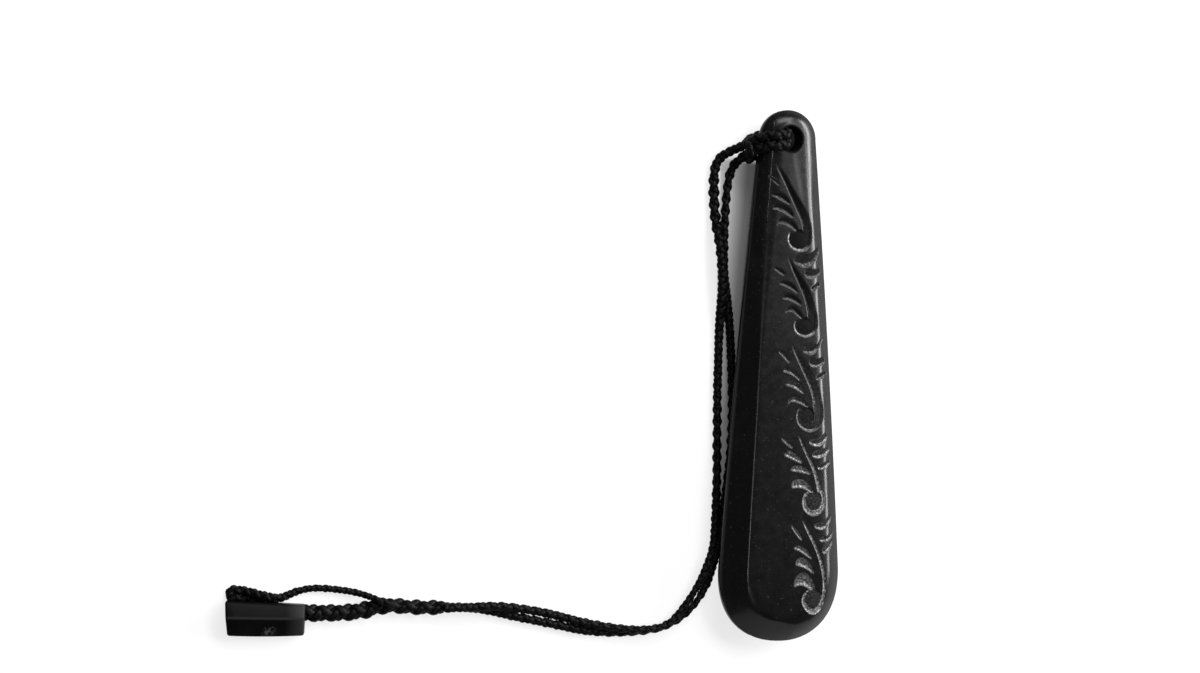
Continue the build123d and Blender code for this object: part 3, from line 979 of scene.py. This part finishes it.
def mix_colour(tree, share, first, second, blend="MIX"):
    """Mixes two colours. A number stands for a grey."""
    node = tree.nodes.new("ShaderNodeMix")
    node.data_type = "RGBA"
    node.blend_type = blend
    give(tree, node, {0: share, 6: as_colour(first), 7: as_colour(second)})
    return node.outputs[2]


def bump(tree, height, strength, distance):
    values = {"Height": height, "Strength": strength, "Distance": distance}
    return made(tree, "ShaderNodeBump", values).outputs["Normal"]


def cut_attribute(tree, name):
    node = tree.nodes.new("ShaderNodeAttribute")
    node.attribute_name = name
    return node.outputs["Fac"]


def mapped(tree, value, low, high, start, end):
    """A number that goes from start to end while the value goes from low to high."""
    values = {0: value, 1: low, 2: high, 3: start, 4: end}
    return made(tree, "ShaderNodeMapRange", values).outputs[0]


def off_axis(tree, coordinates, x, y):
    """Distance from the upright line through (x, y)."""
    values = {"Vector": coordinates, "Location": (-x, -y, 0.0), "Scale": (1.0, 1.0, 0.0)}
    shift = made(tree, "ShaderNodeMapping", values)
    length = made(tree, "ShaderNodeVectorMath", {0: shift.outputs["Vector"]})
    length.operation = "LENGTH"
    return length.outputs["Value"]


def x_and_y(tree, coordinates):
    apart = made(tree, "ShaderNodeSeparateXYZ", {0: coordinates})
    return apart.outputs["X"], apart.outputs["Y"]


def slanted(tree, value, factor, added):
    """The value times the factor, plus the other value."""
    node = made(tree, "ShaderNodeMath", {0: value, 1: factor, 2: added})
    node.operation = "MULTIPLY_ADD"
    return node.outputs[0]


def inside_out(tree, value, edge):
    """0 where the value lies inside the first number of the edge, 1 from the second on."""
    return mapped(tree, value, *edge, 0.0, 1.0)


def stone_material():
    material, tree, shader = new_material("carved_argillite")
    place = object_coordinates(tree)
    clouds = noise(tree, place, 90.0, 6.0, 0.6)
    mottles = noise(tree, place, 420.0, 4.0, 0.65)
    grain = noise(tree, place, 1400.0, 3.0, 0.6)
    ground = ramp(tree, clouds, [(0.30, 0.0004), (0.55, 0.0008), (0.75, 0.0018)])
    flecks = ramp(tree, grain, [(0.64, 0.0), (0.80, 0.02)])
    stone = mix_colour(tree, 1.0, ground, flecks, "ADD")
    # The cuts' frosted tone and the painted light on their walls
    light = cut_attribute(tree, "cut_frost_and_painted_light")
    dull = cut_attribute(tree, "cut_dull")
    # The drilled hole's wall isn't polished
    from_hole = off_axis(tree, place, 0.0, HOLE_Y)
    rim = HOLE_RADIUS + HOLE_RIM
    drilled = mapped(tree, from_hole, rim, HOLE_RADIUS + 2 * HOLE_RIM, 1.0, 0.0)
    dull = mix_colour(tree, drilled, dull, 1.0)
    scratches = noise(tree, place, 1900.0, 3.0, 0.7)
    scored = ramp(tree, scratches, [(0.36, 0.02), (0.52, 0.09), (0.66, 0.31)])
    polish = ramp(tree, mottles, [(0.3, 0.22), (0.7, 0.30)])
    rough_grain = mix_colour(tree, 0.5, mottles, grain)
    give(tree, shader, {
        "Base Color": mix_colour(tree, light, stone, scored),
        "Roughness": mix_colour(tree, dull, polish, 0.75),
        "Specular IOR Level": mix_colour(tree, dull, 0.13, 0.035),
        "Normal": bump(tree, rough_grain, 0.05, 0.00005),
    })
    return material


def cord_material():
    material, tree, shader = new_material("black_plaited_thread")
    uv = tree.nodes.new("ShaderNodeUVMap")
    uv.uv_map = "yarn"
    values = {"Vector": uv.outputs["UV"], "Scale": (0.6, 9.0, 1.0)}
    stretch = made(tree, "ShaderNodeMapping", values)
    fibre = noise(tree, stretch.outputs["Vector"], 3.0, 3.0, 0.6)
    give(tree, shader, {
        "Base Color": ramp(tree, fibre, [(0.35, 0.0003), (0.70, 0.0010)]),
        "Roughness": 0.38,
        "Specular IOR Level": 0.035,
        "Normal": bump(tree, fibre, 0.6, 0.00012),
    })
    return material


# Along the toggle's ridge: how far the painted highlight reaches in full, and at all
PAINTED_RIDGE_HIGHLIGHT = (0.0001, 0.0005)
# A grainy painted glint on the front: its place, and how far it reaches in full and at all
PAINTED_GLINT_PLACE = (-0.1366, -0.0652)
PAINTED_GLINT_REACH = (0.0004, 0.0022)
# The near end's painted highlight grows between these x
PAINTED_END_HIGHLIGHT_X = (-0.1325, -0.1268)


def toggle_material():
    material, tree, shader = new_material("ground_toggle_stone")
    place = object_coordinates(tree)
    clouds = noise(tree, place, 160.0, 6.0, 0.6)
    grain = noise(tree, place, 1600.0, 3.0, 0.6)
    ground = ramp(tree, clouds, [(0.30, 0.0006), (0.75, 0.0020)])
    # The ridge and the near end get painted highlights, and the front a grainy painted glint
    x, y = x_and_y(tree, place)
    slope = math.tan(TOGGLE_TURN)
    from_ridge = slanted(tree, x, -slope, y)
    ridge_y = TOGGLE_END[1] - TOGGLE_END[0] * slope + TOGGLE_RIDGE_SHARE * TOGGLE_DEPTH_NEAR / 2
    near, far = PAINTED_RIDGE_HIGHLIGHT
    below = mapped(tree, from_ridge, ridge_y - far, ridge_y - near, 0.0, 1.0)
    above = mapped(tree, from_ridge, ridge_y + near, ridge_y + far, 1.0, 0.0)
    ridge = mix_colour(tree, 1.0, below, above, "MULTIPLY")
    near_spot = mapped(tree, off_axis(tree, place, *PAINTED_GLINT_PLACE), *PAINTED_GLINT_REACH, 1.0, 0.0)
    marks = ramp(tree, grain, [(0.48, 0.0), (0.62, 1.0)])
    spot = mix_colour(tree, 1.0, near_spot, marks, "MULTIPLY")
    near_end = inside_out(tree, x, PAINTED_END_HIGHLIGHT_X)
    end_highlight = mix_colour(tree, near_end, ground, 0.014)
    ridge_and_end_highlight = mix_colour(tree, ridge, end_highlight, 0.008)
    give(tree, shader, {
        "Base Color": mix_colour(tree, spot, ridge_and_end_highlight, 0.035),
        "Roughness": ramp(tree, clouds, [(0.3, 0.30), (0.7, 0.42)]),
        "Specular IOR Level": 0.016,
        "Normal": bump(tree, grain, 0.2, 0.00008),
    })
    return material


# The gap between the stone and its cord gets painted shade between these sides, each with the
# place where the shade is full and the place where it has gone
GAP_LEFT = (-0.0152, -0.0168)
GAP_RIGHT = (0.0, 0.004)
GAP_TOP = (0.0555, 0.0580)
GAP_BOTTOM = (-0.038, -0.044)
# The lamps' cast shadow shows in the gap, with painted shade on it: the paper's glow is lowest
# by the stone's slanting side and grows away from it
GAP_SLANT = -0.079
GAP_FADE = (-0.0127, -0.0227)
GAP_GLOW = (0.03, 0.60)
# The floor under the hole, seen through it, has a painted shadow: black and without glow up to
# the first distance
HOLE_SHADE_X = 0.002
HOLE_SHADE = (0.0030, 0.0072)
# The paper's glow is painted light: it keeps the paper white and washes out cast shadows
PAPER_GLOW = 0.72
PAPER_GREY = 0.12
FLOOR_HALF = 3.0


def make_stage():
    side = FLOOR_HALF
    corners = [(-side, -side, 0), (side, -side, 0), (side, side, 0), (-side, side, 0)]
    floor = link_mesh("floor", corners, [(0, 1, 2, 3)], smooth=False)
    material, tree, shader = new_material("white_paper")
    # The paper glows by itself, painted light that washes out cast shadows, but less in the gap,
    # painted shade, and not under the hole, a painted shadow
    place = object_coordinates(tree)
    x, y = x_and_y(tree, place)
    glow = mapped(tree, slanted(tree, y, GAP_SLANT, x), *GAP_FADE, *GAP_GLOW)
    for value, edge in ((x, GAP_LEFT), (x, GAP_RIGHT), (y, GAP_TOP), (y, GAP_BOTTOM)):
        glow = mix_colour(tree, 1.0, glow, inside_out(tree, value, edge), "LIGHTEN")
    # Painted shadow under the hole: a black base and no glow
    past_hole_shadow = inside_out(tree, off_axis(tree, place, HOLE_SHADE_X, HOLE_Y), HOLE_SHADE)
    glow = mix_colour(tree, 1.0, glow, past_hole_shadow, "DARKEN")
    give(tree, shader, {
        "Base Color": mix_colour(tree, past_hole_shadow, 0.0, PAPER_GREY),
        "Emission Color": glow,
        "Emission Strength": PAPER_GLOW,
        "Roughness": 0.9,
        "Specular IOR Level": 0.1,
    })
    floor.data.materials.append(material)


def area_light(name, place, target, size_x, size_y, power):
    data = bpy.data.lights.new(name, "AREA")
    data.shape = "RECTANGLE"
    data.size = size_x
    data.size_y = size_y
    data.energy = power
    lamp = bpy.data.objects.new(name, data)
    lamp.location = place
    aim = Vector(target) - Vector(place)
    lamp.rotation_euler = aim.to_track_quat("-Z", "Y").to_euler()
    scene.collection.objects.link(lamp)


# Each cord: name, the solid it replaces, route, diameter, widths and turn
CORDS = [
    ("upper_strand", "strand_upper", UPPER_ROUTE, STRAND_DIAMETER, UPPER_WIDTHS, STRAND_TURN),
    ("lower_strand", "strand_lower", LOWER_ROUTE, STRAND_DIAMETER, LOWER_WIDTHS, STRAND_TURN),
    ("cow_hitch", "hitch_band", BAND_ROUTE, STRAND_DIAMETER, BAND_WIDTHS, STRAND_TURN),
    ("thick_plait", "toggle_plait", PLAIT_ROUTE, PLAIT_DIAMETER, PLAIT_WIDTHS, PLAIT_TURN),
    ("thin_loop", "closure_loop", LOOP_ROUTE, LOOP_DIAMETER, LOOP_WIDTHS, LOOP_TURN),
]
SKY_STRENGTH = 0.27
# The lights: name, place, target, width, height and power
LIGHTS = [
    ("head_key", (0.15, 0.95, 0.75), (0.0, 0.0, 0.0), 1.0, 0.4, 23.0),
    ("overhead", (0.46, 0.50, 0.94), (0.0, 0.0, 0.0), 0.5, 0.50, 10.0),
    ("right_strip", (0.80, 0.27, 0.36), (0.0, 0.27, 0.0), 0.76, 0.25, 28.0),
    ("edge_glint", (-0.36, -0.12, 0.86), (0.0, -0.04, 0.0), 0.12, 0.16, 3.4),
    ("head_glow", (0.44, 0.29, 0.80), (0.0, 0.06, 0.0), 0.40, 0.16, 3.6),
    ("blade_low", (0.05, -0.95, 0.22), (0.0, -0.06, 0.0), 1.60, 0.44, 2.8),
    ("right_low", (0.90, 0.0, 0.10), (0.0, 0.0, 0.0), 1.20, 0.20, 0.9),
]


def make_lights():
    world = bpy.data.worlds.new("studio")
    world.use_nodes = True
    background = world.node_tree.nodes["Background"]
    background.inputs["Color"].default_value = (1.0, 1.0, 1.0, 1.0)
    background.inputs["Strength"].default_value = SKY_STRENGTH
    scene.world = world
    for light in LIGHTS:
        area_light(*light)


def main():
    scene.view_settings.view_transform = "Standard"
    make_camera()
    make_stage()
    make_lights()

    cord = cord_material()
    toggle = make_toggle()
    dress(toggle, toggle_material(), "toggle")
    for seed, values in enumerate(CORDS, 1):
        held = [toggle] if values[0] == "thick_plait" else ()
        make_cord(*values, seed, cord, held)

    stone = make_stone()
    cut_away(stone, make_hole_cutter())
    dress(stone, stone_material(), "adze_stone")


main()
